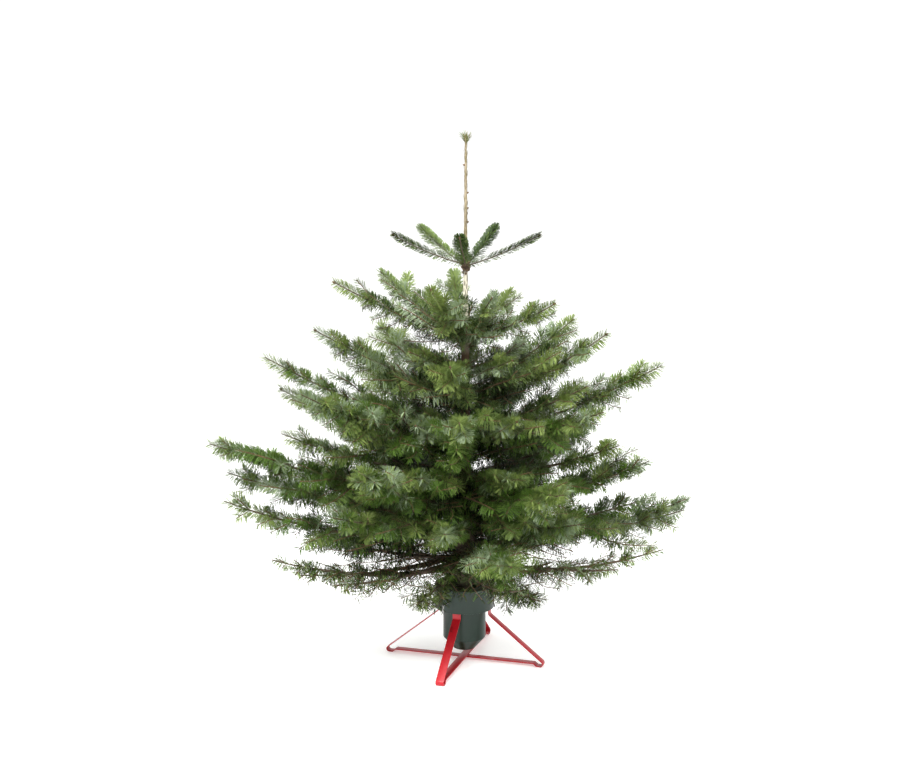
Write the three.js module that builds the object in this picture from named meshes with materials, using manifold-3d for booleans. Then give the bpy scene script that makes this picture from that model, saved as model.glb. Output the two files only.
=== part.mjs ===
// A cut Nordmann fir standing in a steel cross stand with a water cup.
// Millimetres, +Z up, origin on the floor under the trunk. Bearings are in degrees from +X towards +Y.
import * as THREE from "three";
import { mergeVertices } from "three/addons/utils/BufferGeometryUtils.js";
import Module from "manifold-3d";

const wasm = await Module();
wasm.setup();

const GAP = 0.3; // clearance left between touching pieces
const DEGREE = Math.PI / 180;

// ---------------------------------------------------------------- Driving dimensions: the tree
const HEIGHT = 1600; // floor to the top bud
const SAW_CUT = 42; // height of the trunk's flat foot, on the bottom of the cup
const BUTT_RADIUS = 27.5; // trunk at the saw cut
const TIP_RADIUS = 3.5; // leader just under its bud
const TAPER = 1.2; // 1 is a straight cone, more draws the leader out thin
const LEAN = 4; // how far the top stands towards +X
const LEADER_RINGS = [1330, 1450]; // heights above the last whorl where the leader's curve is followed
// The bud is drawn through rings, each a share of its length and of its radius.
const TOP_BUD = { radius: 9, length: 30, rings: [[0.4, 1], [0.75, 0.9], [1, 0.4]] };
const TRUNK_SIDES = 14;

// Each whorl: its height on the trunk, how far out its foliage starts, the widest half width of its sprays, how
// far they stand above and hang below their boughs, the dip of a bough below its chord as a share of its reach,
// and its boughs. A bough is its bearing, its reach from the trunk's axis, its tip's height over the whorl, and,
// where its spray is thinner or fuller than the others, by how much.
const WHORLS = [
  {
    height: 1207,
    bare: 0,
    spread: 11,
    above: 11,
    below: 11,
    dip: 0.03,
    boughs: [[355, 220, 92], [64, 210, 109], [130, 216, 110], [188, 218, 98], [265, 196, 96]],
  },
  {
    height: 981,
    bare: 0,
    spread: 110,
    above: 34,
    below: 52,
    dip: 0.04,
    boughs: [[56, 255, 146], [97, 300, 205], [138, 355, 206], [183, 390, 195], [254, 345, 200], [337, 282, 140]],
  },
  {
    height: 800,
    bare: 0,
    spread: 180,
    above: 50,
    below: 66,
    dip: 0.03,
    boughs: [[36, 420, 240], [132, 405, 205], [188, 447, 238], [264, 400, 178], [345, 425, 230]],
  },
  {
    height: 657,
    bare: 0,
    spread: 210,
    above: 58,
    below: 88,
    dip: 0.03,
    boughs: [
      [5, 596, 260],
      [66, 560, 225],
      [126, 560, 240],
      [180, 598, 296],
      [222, 600, 245],
      [268, 480, 198],
      [325, 475, 175],
    ],
  },
  {
    height: 503,
    bare: 0,
    spread: 235,
    above: 86,
    below: 76,
    dip: 0.05,
    boughs: [[352, 552, 140], [55, 590, 150], [118, 590, 155], [198, 765, 230], [240, 570, 200], [298, 560, 150]],
  },
  {
    height: 368,
    bare: 105,
    spread: 270,
    above: 50,
    below: 74,
    dip: 0.03,
    boughs: [[19, 758, 70, 0.64], [76, 590, 85, 0.7], [138, 600, 100, 0.8], [199, 730, 190], [282, 590, 95, 0.7]],
  },
  {
    height: 290,
    bare: 115,
    spread: 210,
    above: 24,
    below: 46,
    dip: 0.06,
    boughs: [[350, 600, 86, 0.8], [62, 470, 60], [132, 480, 60], [205, 612, 104], [290, 450, 60, 0.8]],
  },
];
const BOUGH_SHARE = 0.36; // a bough's radius where it leaves the trunk, as a share of the trunk's there
const BOUGH_ROOT = 0.6; // where a bough starts inside the trunk, as a share of the trunk's radius
const BOUGH_TAPER = 0.8; // how much of that radius is gone at the tip
const BOUGH_SIDES = 8;
const STEM_SPACE = 5; // from the bark to the foliage of a bough with no bare wood
const SHOOT_RADIUS = 11; // a single needled shoot, from its stem to the needles' ends
const LONE_TIP = 0.86; // the share of a bough's reach where its side shoots end and its lone tip goes on
const FAN_ANGLE = 40; // how far a spray's edges turn in towards its tip, in degrees
const ROOM = 0.94; // how much of the way to the next bough's spray a spray fills
const BLUNT = 0.45; // the size of a shoot's or spray's end rings, as a share of their full size
// The rings of a lone shoot and of a spray: shares of the length, sides, and how far they are pulled in unevenly.
const SINGLE = { stations: [0, 0.3, 0.65, 0.93, 1], sides: 7, ragged: 0.06 };
const SPRAY = { stations: [0, 0.12, 0.27, 0.42, 0.57, 0.71, LONE_TIP, 0.97, 1], sides: 9, ragged: 0.2 };

// ---------------------------------------------------------------- Driving dimensions: the stand
const STRAP = { width: 25, thickness: 3, bend: 8 };
const LEG_BEARINGS = [73, 163, 253, 343];
const TOE = { corner: 265, inner: 231, rise: 222 }; // radii of the toe's turn, its flat end and its ramp
const BAR_HEIGHT = 9.5; // centre of the lower cross bar above the floor
const LEG_TOP = 231;
const LEG_SHANK = { hooked: 84.2, free: 80 }; // the strap's radius inside the collar, and just below it
const LEG_STEP = { top: 205, foot: 188 }; // heights between which it steps from one to the other
const KNEE = 150; // where a leg turns out from the cup
const SPLIT = 30; // how far up from the toe's corner a leg meets its cross bar
const CUP = { radius: 65, wall: 3, bottom: 38, bottomRadius: 33, shoulder: 74, rim: 241, sides: 28 };
const CUP_EDGE = { inward: 3, down: 6 }; // the slope that takes the corner off the cup's shoulder
const COLLAR = { radius: 91, wall: 3.5, foot: 169, chamfer: 3 };
const SCREW = { radius: 3, height: 205, reach: 128, hook: 24, bend: 6, sides: 8, bearings: [0, 120, 240] };
const SCREW_HOLE = { radius: 3.5, sides: 12 };

// ---------------------------------------------------------------- Materials
const paint = (hex, roughness, metalness = 0) =>
  new THREE.MeshStandardMaterial({ color: hex, roughness, metalness });
const BARK = paint(0x6e5c48, 0.9);
const NEEDLES = paint(0x3f6133, 0.7);
const RED_STEEL = paint(0xb3121d, 0.35);
const GREEN_PLASTIC = paint(0x22423a, 0.45);
const ZINC = paint(0x8a8d90, 0.4, 0.9);

// ---------------------------------------------------------------- Solids
const group = new THREE.Group();

function add(name, geometry, material) {
  const mesh = new THREE.Mesh(geometry, material);
  mesh.name = name;
  group.add(mesh);
}

// A closed solid through rings of points, each ring counter-clockwise seen from the last ring's end.
function loft(rings) {
  const sides = rings[0].length;
  const middles = [rings[0], rings.at(-1)].map((ring) =>
    ring.reduce((sum, p) => sum.add(p), new THREE.Vector3()).divideScalar(sides),
  );
  const points = [...rings.flat(), ...middles];
  const faces = [];
  const first = rings.length * sides;
  for (let k = 0; k < sides; k++) {
    const next = (k + 1) % sides;
    faces.push(first, next, k);
    faces.push(first + 1, first - sides + k, first - sides + next);
    for (let i = 0; i + 1 < rings.length; i++) {
      const [a, b] = [i * sides + k, i * sides + next];
      faces.push(a, b, b + sides, a, b + sides, a + sides);
    }
  }
  const geometry = new THREE.BufferGeometry().setFromPoints(points);
  geometry.setIndex(faces);
  geometry.computeVertexNormals();
  return geometry;
}

function solid(geometry) {
  const bare = geometry.clone();
  bare.deleteAttribute("normal");
  bare.deleteAttribute("uv");
  const merged = mergeVertices(bare, 1e-4);
  const mesh = new wasm.Mesh({
    numProp: 3,
    vertProperties: merged.attributes.position.array,
    triVerts: new Uint32Array(merged.index.array),
  });
  return new wasm.Manifold(mesh);
}

function cut(geometry, cutters) {
  let left = solid(geometry);
  for (const cutter of cutters) left = left.subtract(solid(cutter));
  const made = left.getMesh();
  const result = new THREE.BufferGeometry();
  result.setAttribute("position", new THREE.BufferAttribute(made.vertProperties, made.numProp));
  result.setIndex(new THREE.BufferAttribute(made.triVerts, 1));
  result.computeVertexNormals();
  return result;
}

// A repeatable uneven number from -1 to 1.
function uneven(...keys) {
  const mixed = keys.reduce((sum, key, i) => sum + key * (12.9898 + 65.233 * i), 0.5);
  const wave = Math.sin(mixed) * 43758.5453;
  return 2 * (wave - Math.floor(wave)) - 1;
}

// ---------------------------------------------------------------- The trunk
function trunkRadius(z) {
  const left = Math.max(0, (HEIGHT - z) / (HEIGHT - SAW_CUT));
  return TIP_RADIUS + (BUTT_RADIUS - TIP_RADIUS) * left ** TAPER;
}

const trunkAxis = (z) => (LEAN * z) / HEIGHT;

function trunkRing(z, radius) {
  return Array.from({ length: TRUNK_SIDES }, (_, k) => {
    const turn = (2 * Math.PI * k) / TRUNK_SIDES;
    return new THREE.Vector3(trunkAxis(z) + radius * Math.cos(turn), radius * Math.sin(turn), z);
  });
}

// The trunk's heights run from the saw cut through each whorl to the leader's tip, with the bud on top.
function trunk(extra = 0, withBud = true) {
  const neck = HEIGHT - TOP_BUD.length;
  const heights = [SAW_CUT + GAP, ...WHORLS.map((w) => w.height).reverse(), ...LEADER_RINGS, neck];
  const rings = heights.map((z) => trunkRing(z, trunkRadius(z) + extra));
  if (withBud) {
    for (const [up, wide] of TOP_BUD.rings) rings.push(trunkRing(neck + TOP_BUD.length * up, TOP_BUD.radius * wide));
  }
  return loft(rings);
}

add("trunk", trunk(), BARK);

// ---------------------------------------------------------------- Boughs and foliage
// The bough's own axes at a share t of its reach: a point on its centreline, outward, sideways and upward.
function boughFrame(whorl, [bearing, reach, lift], t) {
  const turn = bearing * DEGREE;
  const out = new THREE.Vector3(Math.cos(turn), Math.sin(turn), 0);
  const side = new THREE.Vector3(-Math.sin(turn), Math.cos(turn), 0);
  const height = whorl.height + lift * t - 4 * whorl.dip * reach * t * (1 - t);
  const climb = (lift - 4 * whorl.dip * reach * (1 - 2 * t)) / reach;
  const forward = out.clone().setZ(climb).normalize();
  const at = out.clone().multiplyScalar(reach * t).setZ(height);
  at.x += trunkAxis(height);
  return { at, forward, side, up: new THREE.Vector3().crossVectors(forward, side) };
}

function boughRing(frame, sides, sizeAt) {
  return Array.from({ length: sides }, (_, k) => {
    const turn = (2 * Math.PI * k) / sides;
    const [wide, tall] = sizeAt(turn, k);
    return frame.at
      .clone()
      .addScaledVector(frame.side, wide * Math.cos(turn))
      .addScaledVector(frame.up, tall * Math.sin(turn));
  });
}

// A bough's wood from inside the trunk to where the foliage takes it in, cut to the trunk's bark.
function bough(whorl, spec) {
  const base = trunkRadius(whorl.height) * BOUGH_SHARE;
  const start = (trunkRadius(whorl.height) * BOUGH_ROOT) / spec[1];
  const end = whorl.bare / spec[1];
  const rings = [0, 0.5, 1].map((share) => {
    const t = start + (end - start) * share;
    const radius = base * (1 - BOUGH_TAPER * t);
    return boughRing(boughFrame(whorl, spec, t), BOUGH_SIDES, () => [radius, radius]);
  });
  return cut(loft(rings), [trunk(GAP, false)]);
}

// The angle from a bough to the middle of the gap on one side of it; way is 1 or -1.
function wedge(whorl, b, way) {
  const { boughs } = whorl;
  const next = boughs[(b + way + boughs.length) % boughs.length][0];
  return ((((next - boughs[b][0]) * way + 360) % 360) * DEGREE) / 2;
}

// Half width of a spray at a radius r: it widens between its neighbours, then narrows to the lone tip.
function sprayWidth(whorl, b, way, r) {
  const room = ROOM * Math.tan(wedge(whorl, b, way)) * (r - SHOOT_RADIUS);
  const fan = (LONE_TIP * whorl.boughs[b][1] - r) * Math.tan(FAN_ANGLE * DEGREE) + SHOOT_RADIUS;
  return Math.max(SHOOT_RADIUS, Math.min(room, fan, whorl.spread));
}

// Half depth of a spray at a share s of its length, full size being its most above or below its bough.
function sprayDepth(full, s) {
  const share = Math.min(1, 3 * s + 0.35) * Math.min(1, (1.02 - s) / 0.4);
  return SHOOT_RADIUS + (full - SHOOT_RADIUS) * share;
}

// A single shoot is a plain spindle; a spray is a flat fan, both blunt at their ends.
function spray(whorl, b, seed) {
  const spec = whorl.boughs[b];
  const fullness = spec[3] ?? 1;
  const { stations, sides, ragged } = whorl.spread > SHOOT_RADIUS ? SPRAY : SINGLE;
  const start = Math.max(whorl.bare + GAP, trunkRadius(whorl.height) + STEM_SPACE) / spec[1];
  const rings = stations.map((s, i) => {
    const t = start + (1 - start) * s;
    const blunt = i === 0 || i === stations.length - 1 ? BLUNT : 1;
    return boughRing(boughFrame(whorl, spec, t), sides, (turn, k) => {
      const size = blunt * (1 - ragged * Math.abs(uneven(seed, i, k)));
      const wide = sprayWidth(whorl, b, Math.cos(turn) > 0 ? 1 : -1, t * spec[1]);
      const tall = sprayDepth(fullness * (Math.sin(turn) > 0 ? whorl.above : whorl.below), s);
      return [wide * size, tall * size];
    });
  });
  return loft(rings);
}

WHORLS.forEach((whorl, w) =>
  whorl.boughs.forEach((spec, b) => {
    const label = `${w + 1}_${b + 1}`;
    if (whorl.bare) add(`bough_${label}`, bough(whorl, spec), BARK);
    add(`foliage_${label}`, spray(whorl, b, 10 * w + b + 1), NEEDLES);
  }),
);

// ---------------------------------------------------------------- The stand
// A polyline through corners [r, z], with each inner corner turned to an arc of the given radius.
function filleted(corners, radius, steps = 4) {
  const points = [];
  corners.forEach(([x, z], i) => {
    const here = new THREE.Vector2(x, z);
    if (i === 0 || i === corners.length - 1) return points.push(here);
    const before = new THREE.Vector2(...corners[i - 1]).sub(here).normalize();
    const after = new THREE.Vector2(...corners[i + 1]).sub(here).normalize();
    const half = Math.acos(THREE.MathUtils.clamp(before.dot(after), -1, 1)) / 2;
    const middle = before.clone().add(after).normalize().multiplyScalar(radius / Math.sin(half)).add(here);
    const from = before.multiplyScalar(radius / Math.tan(half)).add(here).sub(middle);
    const to = after.multiplyScalar(radius / Math.tan(half)).add(here).sub(middle);
    const turn = Math.atan2(from.cross(to), from.dot(to));
    for (let k = 0; k <= steps; k++) {
      points.push(from.clone().rotateAround(new THREE.Vector2(), (turn * k) / steps).add(middle));
    }
  });
  return points;
}

// A flat strap bent along a line in the plane of radius and height, laid across that plane. It is mitred at
// each turn of the line, so its faces stay flat and its thickness even.
function strap(line, bearing) {
  const run = (i) => line[i + 1].clone().sub(line[i]).normalize();
  const normals = line.map((p, i) => {
    const [before, after] = [run(Math.max(i - 1, 0)), run(Math.min(i, line.length - 2))];
    const along = before.clone().add(after).normalize();
    return new THREE.Vector2(-along.y, along.x).multiplyScalar(STRAP.thickness / 2 / along.dot(after));
  });
  const left = line.map((p, i) => p.clone().add(normals[i]));
  const right = line.map((p, i) => p.clone().sub(normals[i]));
  const outline = new THREE.Shape([...left, ...right.reverse()]);
  const geometry = new THREE.ExtrudeGeometry(outline, { depth: STRAP.width, bevelEnabled: false });
  geometry.translate(0, 0, -STRAP.width / 2);
  geometry.rotateX(Math.PI / 2);
  geometry.rotateZ(bearing * DEGREE);
  return geometry;
}

const onFloor = STRAP.thickness / 2;
const slope = Math.atan2(KNEE - onFloor, TOE.corner - LEG_SHANK.free);
const upSlope = (far) => [TOE.corner - far * Math.cos(slope), onFloor + far * Math.sin(slope)];

function leg(bearing) {
  const corners = [
    [LEG_SHANK.hooked, LEG_TOP],
    [LEG_SHANK.hooked, LEG_STEP.top],
    [LEG_SHANK.free, LEG_STEP.foot],
    [LEG_SHANK.free, KNEE],
    upSlope(SPLIT + GAP),
  ];
  return strap(filleted(corners, 2 * STRAP.bend), bearing);
}

// A cross bar runs from toe to toe, and each toe turns up into its leg.
function crossBar(bearing, height) {
  const half = [
    upSlope(SPLIT),
    [TOE.corner, onFloor],
    [TOE.inner, onFloor],
    [TOE.rise, height],
  ];
  const mirrored = half.map(([r, z]) => [-r, z]).reverse();
  return strap(filleted([...half, ...mirrored], STRAP.bend), bearing);
}

LEG_BEARINGS.forEach((bearing, i) => add(`stand_leg_${i + 1}`, leg(bearing), RED_STEEL));
add("stand_bar_1", crossBar(LEG_BEARINGS[1], BAR_HEIGHT), RED_STEEL);
add("stand_bar_2", crossBar(LEG_BEARINGS[0], BAR_HEIGHT + STRAP.thickness + GAP), RED_STEEL);

// A screw with a bent end, from the trunk's bark out through the cup's wall and collar.
function screwLine() {
  const start = trunkRadius(SCREW.height) + trunkAxis(SCREW.height) + GAP;
  const corners = [
    [start, SCREW.height],
    [SCREW.reach, SCREW.height],
    [SCREW.reach, SCREW.height - SCREW.hook],
  ];
  return filleted(corners, SCREW.bend);
}

function screw(bearing) {
  const line = screwLine();
  const rings = line.map((p, i) => {
    const next = line[Math.min(i + 1, line.length - 1)];
    const along = next.clone().sub(line[Math.max(i - 1, 0)]).normalize();
    return Array.from({ length: SCREW.sides }, (_, k) => {
      const turn = (2 * Math.PI * k) / SCREW.sides;
      const across = SCREW.radius * Math.cos(turn);
      const tall = SCREW.radius * Math.sin(turn);
      return new THREE.Vector3(p.x - along.y * tall, across, p.y + along.x * tall);
    });
  });
  return loft(rings).rotateZ(bearing * DEGREE);
}

function screwHole(bearing) {
  const { radius, sides } = SCREW_HOLE;
  const hole = new THREE.CylinderGeometry(radius, radius, COLLAR.radius, sides);
  hole.rotateZ(Math.PI / 2).translate(COLLAR.radius, 0, SCREW.height);
  return hole.rotateZ(bearing * DEGREE);
}

// The moulded cup: a straight wall over a coned bottom, with its rim folded out and down as a deep collar.
function cup() {
  const { radius, wall, bottom, bottomRadius, shoulder, rim, sides } = CUP;
  const outside = [
    [0, bottom],
    [bottomRadius, bottom],
    [radius - CUP_EDGE.inward, shoulder - CUP_EDGE.down],
    [radius, shoulder],
    [radius, rim - wall],
  ];
  const collar = [
    [COLLAR.radius - COLLAR.wall, rim - wall],
    [COLLAR.radius - COLLAR.wall, COLLAR.foot],
    [COLLAR.radius - COLLAR.chamfer / 2, COLLAR.foot],
    [COLLAR.radius, COLLAR.foot + COLLAR.chamfer],
    [COLLAR.radius, rim - COLLAR.chamfer],
    [COLLAR.radius - COLLAR.chamfer, rim],
  ];
  const inside = [
    [radius - wall, rim],
    [radius - wall, shoulder],
    [radius - wall - CUP_EDGE.inward, shoulder - CUP_EDGE.down],
    [bottomRadius - 1, bottom + wall],
    [0, bottom + wall],
  ];
  const profile = [...outside, ...collar, ...inside].map(([r, z]) => new THREE.Vector2(r, z));
  const turned = new THREE.LatheGeometry(profile, sides).rotateX(Math.PI / 2);
  return cut(turned, SCREW.bearings.map(screwHole));
}

add("stand_cup", cup(), GREEN_PLASTIC);
SCREW.bearings.forEach((bearing, i) => add(`stand_screw_${i + 1}`, screw(bearing), ZINC));

export default group;
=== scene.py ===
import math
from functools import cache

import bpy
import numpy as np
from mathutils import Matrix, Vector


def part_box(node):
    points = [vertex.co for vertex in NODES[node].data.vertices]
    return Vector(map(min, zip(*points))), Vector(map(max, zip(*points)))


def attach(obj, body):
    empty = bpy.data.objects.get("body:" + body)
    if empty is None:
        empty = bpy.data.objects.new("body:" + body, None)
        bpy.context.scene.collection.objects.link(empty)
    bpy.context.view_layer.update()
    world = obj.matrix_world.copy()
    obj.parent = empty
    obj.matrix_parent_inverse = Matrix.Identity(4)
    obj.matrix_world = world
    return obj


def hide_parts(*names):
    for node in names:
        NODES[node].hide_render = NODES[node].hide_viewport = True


bl_info = {
    "name": "Cut Fir in a Stand",
    "version": (1, 0, 0),
    "blender": (4, 5, 0),
    "location": "View3D > Sidebar > Fir",
    "description": "Grows a cut fir tree from the limbs of a fixed frame and finishes its stand",
    "category": "Object",
}

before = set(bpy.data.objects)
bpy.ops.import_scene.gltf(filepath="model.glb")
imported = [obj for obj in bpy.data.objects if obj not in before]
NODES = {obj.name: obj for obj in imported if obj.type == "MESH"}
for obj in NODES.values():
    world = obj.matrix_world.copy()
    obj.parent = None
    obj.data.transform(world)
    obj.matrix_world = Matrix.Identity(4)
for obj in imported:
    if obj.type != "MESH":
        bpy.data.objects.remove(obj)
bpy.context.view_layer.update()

SPRAYS = sorted(name for name in NODES if name.startswith("foliage_"))
LIMBS = sorted(name for name in NODES if name.startswith("bough_"))
UP = np.array((0.0, 0.0, 1.0))
GOLDEN_ANGLE = 2.399  # between one needle or bud and the next, in radians round the stem

# Whorls are counted from 1 at the top, and a bough's whorl is also its age in years.
# Lesser boughs between the whorls: bearing, height on the trunk, reach, rise to the tip, whorl
BETWEEN = [
    (215, 0.90, 0.20, 0.07, 2), (150, 0.89, 0.22, 0.08, 2), (312, 0.89, 0.21, 0.06, 2),
    (262, 0.88, 0.16, 0.05, 2), (22, 0.90, 0.20, 0.07, 2), (84, 0.89, 0.21, 0.07, 2),
    (172, 0.63, 0.57, 0.20, 3), (205, 0.72, 0.36, 0.12, 3), (300, 0.71, 0.30, 0.08, 3),
    (242, 0.71, 0.30, 0.07, 3), (340, 0.72, 0.38, 0.15, 3), (60, 0.72, 0.36, 0.12, 3),
    (112, 0.72, 0.36, 0.12, 3), (187, 0.57, 0.55, 0.15, 4), (348, 0.57, 0.47, 0.12, 4),
    (245, 0.58, 0.38, 0.07, 4), (295, 0.58, 0.36, 0.06, 4), (30, 0.57, 0.46, 0.12, 4),
    (92, 0.57, 0.48, 0.10, 4), (145, 0.57, 0.48, 0.12, 4), (192, 0.45, 0.71, 0.17, 4),
    (8, 0.44, 0.50, 0.16, 4), (262, 0.45, 0.40, 0.05, 4), (315, 0.44, 0.46, 0.07, 4),
    (225, 0.44, 0.52, 0.10, 4), (60, 0.44, 0.50, 0.09, 4), (108, 0.44, 0.50, 0.09, 4),
    (150, 0.44, 0.55, 0.10, 4), (248, 0.33, 0.37, -0.05, 4), (305, 0.32, 0.38, -0.04, 4),
    (95, 0.32, 0.40, -0.02, 4), (165, 0.32, 0.50, 0.04, 4), (204, 0.33, 0.53, 0.0, 7),
    (217, 0.32, 0.47, 0.0, 7), (333, 0.33, 0.50, 0.02, 7), (30, 0.33, 0.48, 0.02, 7),
    (16, 0.37, 0.73, 0.05, 4), (3, 0.40, 0.53, 0.09, 4), (305, 0.98, 0.14, 0.15, 2),
    (240, 0.98, 0.14, 0.13, 2),
]


# ---- Sizes and colours


def length(name, description, default):
    return bpy.props.FloatProperty(
        name=name, description=description, default=default, min=0.0, unit="LENGTH", precision=4
    )


def angle(name, description, degrees):
    return bpy.props.FloatProperty(
        name=name, description=description, default=math.radians(degrees), subtype="ANGLE"
    )


def share(name, description, default):
    return bpy.props.FloatProperty(name=name, description=description, default=default, min=0.0)


def colour(name, description, default):
    return bpy.props.FloatVectorProperty(
        name=name, description=description, default=default, size=3, subtype="COLOR", min=0.0, max=1.0
    )


class FirGrowth(bpy.types.PropertyGroup):
    """How the boughs branch"""

    seed: bpy.props.IntProperty(name="Seed", description="Which of the rule's trees to grow", default=7)
    side_angle: angle("Side angle", "Angle between a side shoot and the shoot that carries it", 52)
    side_share: share("Side share", "Length of a side shoot to the length of its parent beyond it", 0.85)
    twig_share: share("Twig share", "The same, for the shoots on side shoots", 0.72)
    weak_share: share("Weak share", "Length of a shoot between nodes, to that of one at a node", 0.6)
    spacing: length("Spacing", "Distance between the weak shoots of one year's wood", 0.045)
    lift: angle("Lift", "How far a side shoot may rise or sink from its bough's plane", 34)
    upright_share: share("Upright share", "Length of a shoot over or under a bough, to a side one's", 0.75)
    margin: length("Margin", "How far shoots may stand out of their mass, into the gaps beside it", 0.03)
    steering: share("Steering", "How strongly a shoot bends back before it leaves its mass", 0.3)
    fillers: share("Fillers", "Boughs between the whorls, for each metre of a mass's depth", 36)
    filler_spread: angle("Filler spread", "How far such a bough may stand to the side of its mass", 24)
    year: length("Year", "Growth of a side shoot in one year", 0.085)
    step: length("Step", "Distance between the points of a shoot", 0.02)
    shortest: length("Shortest shoot", "A shoot shorter than this isn't grown", 0.03)
    room: length("Room", "Side of the cube of space that one shoot keeps for itself", 0.054)
    orders: bpy.props.IntProperty(name="Orders", description="How often shoots branch again", default=3)
    twig_radius: length("Twig radius", "Radius of a one year old shoot", 0.0013)
    fattening: length("Fattening", "How much a shoot's radius grows in a year", 0.0008)


class FirNeedles(bpy.types.PropertyGroup):
    """The size and the set of the needles"""

    count: bpy.props.IntProperty(name="Count", description="Needles on the whole tree", default=330000)
    length: length("Length", "Length of a needle on the side of a shoot", 0.035)
    width: length("Width", "Width of a needle at its widest", 0.0019)
    bow: length("Bow", "How far a needle's blade bows up and then down", 0.0006)
    lean: angle("Lean", "Angle between a needle and its shoot", 57)
    ranks: bpy.props.IntProperty(name="Ranks", description="Rows of needles along a shoot", default=9)
    around: angle("Around", "How far round from the shoot's top its needles go", 150)
    piece: bpy.props.IntProperty(name="Per piece", description="Needles in one joined mesh", default=66000)


class FirColours(bpy.types.PropertyGroup):
    """Colours of the needles, the wood and the stand"""

    fresh: colour("Fresh", "Needles of the outermost shoots", (0.165, 0.22, 0.06))
    outer: colour("Outer", "Needles of the other young shoots", (0.11, 0.158, 0.045))
    # Middle and inner are reached with age and with depth into the tree: the darkening with depth is
    # painted shade, and inner is near black
    middle: colour("Middle", "Needles on older wood", (0.031, 0.054, 0.014))
    inner: colour("Inner", "Needles deep in the tree", (0.005, 0.01, 0.003))
    grass: colour("Grass", "Needles of the lower boughs, out of the light", (0.068, 0.125, 0.02))
    dry: colour("Dry", "Needles on the leader and bud scales", (0.15, 0.125, 0.06))
    # Silvery wax that the needles have, lightened into a painted sheen
    silver: colour("Silver", "Needles that show a waxy sheen", (0.215, 0.275, 0.165))
    olive: colour("Olive", "Needles of the sprays that hang over the stand", (0.028, 0.034, 0.01))
    bark: colour("Bark", "The trunk's old bark", (0.075, 0.055, 0.04))
    young: colour("Young bark", "The leader", (0.24, 0.195, 0.125))
    # Near white: a painted highlight on the trunk's wood of the year before
    painted_highlight_bark: colour("Pale bark", "The trunk's wood of the year before", (0.62, 0.58, 0.46))
    twig: colour("Twig", "One year old shoots", (0.11, 0.062, 0.028))
    bud: colour("Bud", "Buds", (0.085, 0.05, 0.026))
    cup: colour("Cup", "The water cup's plastic", (0.003, 0.014, 0.008))
    strap: colour("Strap", "The legs' paint", (0.34, 0.004, 0.01))
    zinc: colour("Zinc", "The clamping screws", (0.32, 0.32, 0.31))


class FirStand(bpy.types.PropertyGroup):
    """Sizes of the stand that its nodes' boxes don't give"""

    strap_width: length("Strap width", "Width of the flat steel", 0.025)
    strap_thickness: length("Strap thickness", "Thickness of the flat steel", 0.003)
    bend: length("Bend", "Radius of the strap's bends", 0.008)
    wall: length("Cup wall", "Thickness of the cup's wall", 0.003)
    screw_radius: length("Screw radius", "Radius of a clamping screw", 0.003)


class FirStage(bpy.types.PropertyGroup):
    """The camera and the floor"""

    distance: length("Distance", "From the camera to the trunk, along the floor", 4.17)
    height: length("Height", "The camera's height above the floor", 1.516)
    offset: length("Offset", "How far the camera stands to the left of the trunk", 0.0074)
    pitch: angle("Pitch", "How far the camera looks down", 9.32)
    lens: bpy.props.FloatProperty(name="Lens", description="Focal length", default=55.1, unit="CAMERA")
    floor: colour("Floor", "The floor and the backdrop", (0.93, 0.93, 0.92))


GROUPS = {
    "growth": FirGrowth, "needles": FirNeedles, "colours": FirColours, "stand": FirStand, "stage": FirStage,
}


def setting(group):
    return getattr(bpy.context.scene, "fir_" + group)


# ---- Meshes from arrays


def make_mesh(name, points, faces, slots, materials, smooth=True):
    """One joined mesh from rows of points and of faces that all have as many corners."""
    mesh = bpy.data.meshes.new(name)
    corners = faces.shape[1]
    mesh.vertices.add(len(points))
    mesh.vertices.foreach_set("co", np.asarray(points, np.float32).ravel())
    mesh.loops.add(faces.size)
    mesh.loops.foreach_set("vertex_index", np.asarray(faces, np.int32).ravel())
    mesh.polygons.add(len(faces))
    mesh.polygons.foreach_set("loop_start", np.arange(0, faces.size, corners, dtype=np.int32))
    for material in materials:
        mesh.materials.append(material)
    mesh.polygons.foreach_set("material_index", np.asarray(slots, np.int32))
    mesh.polygons.foreach_set("use_smooth", np.full(len(faces), smooth))
    mesh.update(calc_edges=True)
    piece = bpy.data.objects.new(name, mesh)
    bpy.context.scene.collection.objects.link(piece)
    return piece


def finish(piece, replaced=()):
    """Sets a finished piece on the one body, and hides the frame's parts that it replaces."""
    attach(piece, "root")
    if replaced:
        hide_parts(*replaced)


def unit(vectors):
    return vectors / np.maximum(np.linalg.norm(vectors, axis=-1, keepdims=True), 1e-9)


def tangents(points):
    return unit(np.gradient(points, axis=0))


def along_path(points, along, place):
    """The points at one or more distances along a path."""
    return np.stack([np.interp(place, along, points[:, k]) for k in range(3)], -1)


def run_lengths(points):
    """How far each point of a path is from the one before it."""
    return np.linalg.norm(np.diff(points, axis=0), axis=1)


def distances(points):
    """How far along a path each of its points lies."""
    return np.concatenate([[0], np.cumsum(run_lengths(points))])


def ring_faces(rings, sides):
    """The four-cornered faces between rings of points."""
    rows = np.arange(rings - 1)[:, None] * sides
    column = np.arange(sides)[None]
    beside = (column + 1) % sides
    corners = [rows + column, rows + beside, rows + sides + beside, rows + sides + column]
    return np.stack(corners, -1).reshape(-1, 4)


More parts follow.
